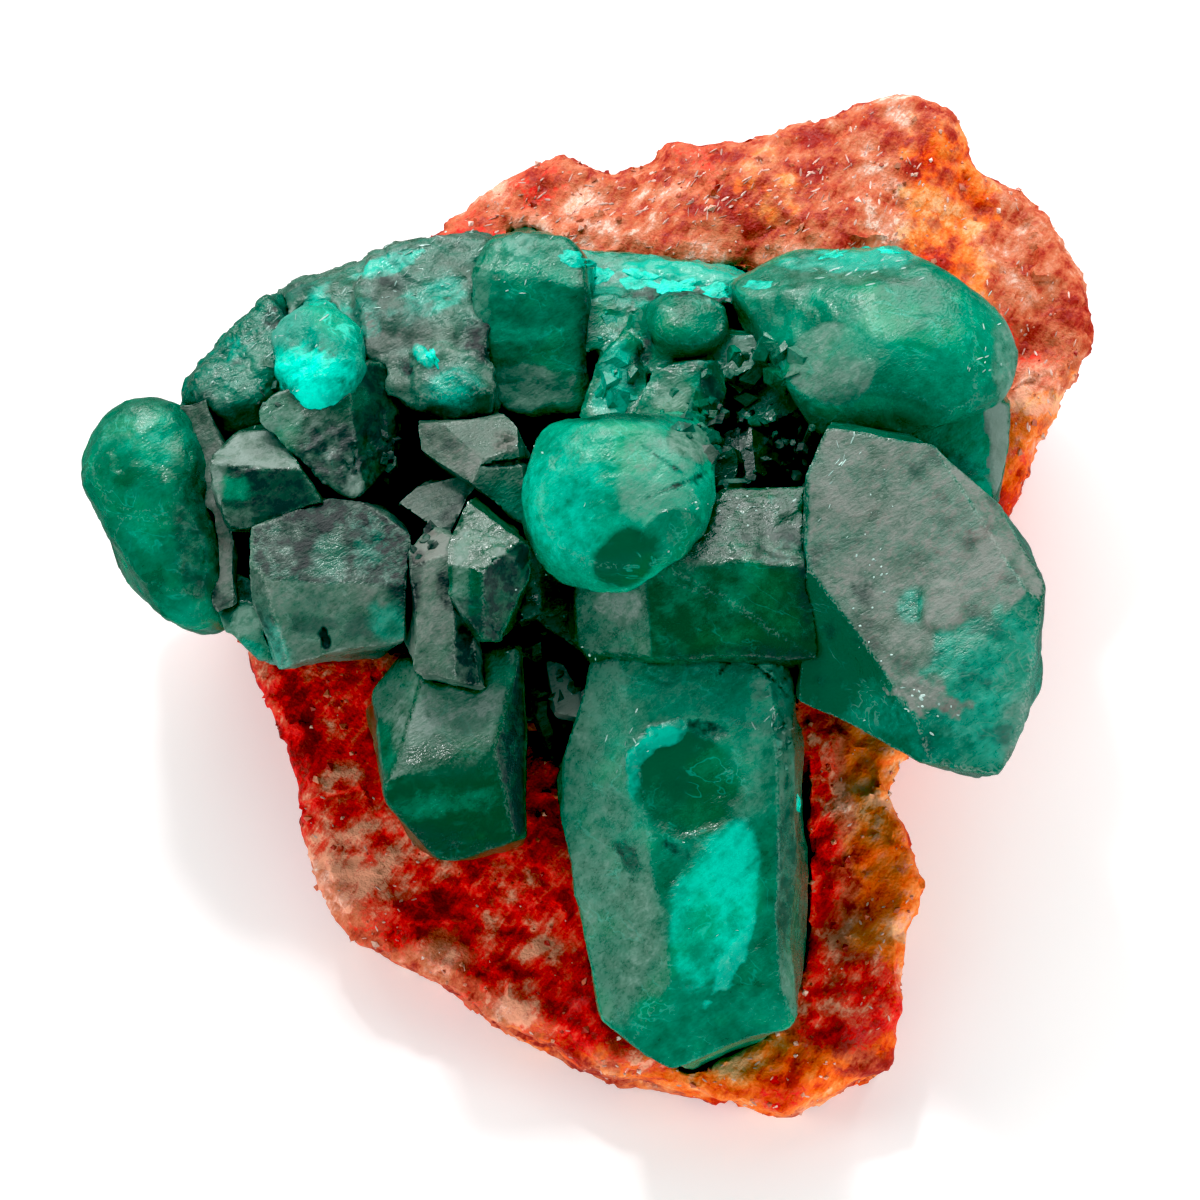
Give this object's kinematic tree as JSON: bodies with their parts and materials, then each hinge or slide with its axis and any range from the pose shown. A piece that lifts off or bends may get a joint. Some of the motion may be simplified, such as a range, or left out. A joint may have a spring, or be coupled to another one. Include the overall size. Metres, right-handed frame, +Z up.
{
  "type": "dioptase on matrix",
  "caption": "Mineral specimen: emerald green dioptase crystals grown across a slab of red sandy rock that rests on its flat underside.",
  "frame": {"origin": "middle of the bounding box, at the level of the flat underside", "axes": "+Z up out of the flat underside; +Y towards the bare rock at the top of the showing face; +X to the right of the showing face"},
  "size_m": [0.04, 0.0408, 0.0206],
  "materials": {
    "red_matrix": "rough, granular red and salmon sandstone with pale grains",
    "deep_dioptase": "deep emerald green crystal with glassy faces",
    "teal_dioptase": "teal green crystal, slightly cloudy, with worn faces",
    "grey_dioptase": "dusky green crystal with grey, finely striped reflecting faces",
    "turquoise_dioptase": "bright turquoise green crystal, cloudy inside"
  },
  "bodies": {
    "root": {"matrix": "red_matrix", "centre_round_crystal": "teal_dioptase", "right_large_crystal": "grey_dioptase", "centre_block_crystal": "deep_dioptase", "striped_top_crystal": "deep_dioptase", "tall_thin_crystal": "grey_dioptase", "long_lower_crystal": "teal_dioptase", "lower_left_crystal": "deep_dioptase", "left_block_crystal": "grey_dioptase", "left_foot_crystals": "teal_dioptase", "small_shelf_crystal": "deep_dioptase", "left_end_crystal": "teal_dioptase", "left_rib_crystal": "grey_dioptase", "turquoise_drop_crystal": "turquoise_dioptase", "dark_wedge_crystal": "deep_dioptase", "upper_left_crystal": "grey_dioptase", "mirror_face_crystal": "grey_dioptase", "dark_facet_crystal": "grey_dioptase", "ridge_middle_crystal": "teal_dioptase", "upper_right_crystal": "teal_dioptase", "right_edge_crystal": "deep_dioptase", "middle_small_crystals": "teal_dioptase", "upper_ridge_crystals": "grey_dioptase", "gap_crystals": "deep_dioptase", "cavity_crystals": "deep_dioptase", "splinter_crystal": "grey_dioptase"}
  },
  "joints": []
}
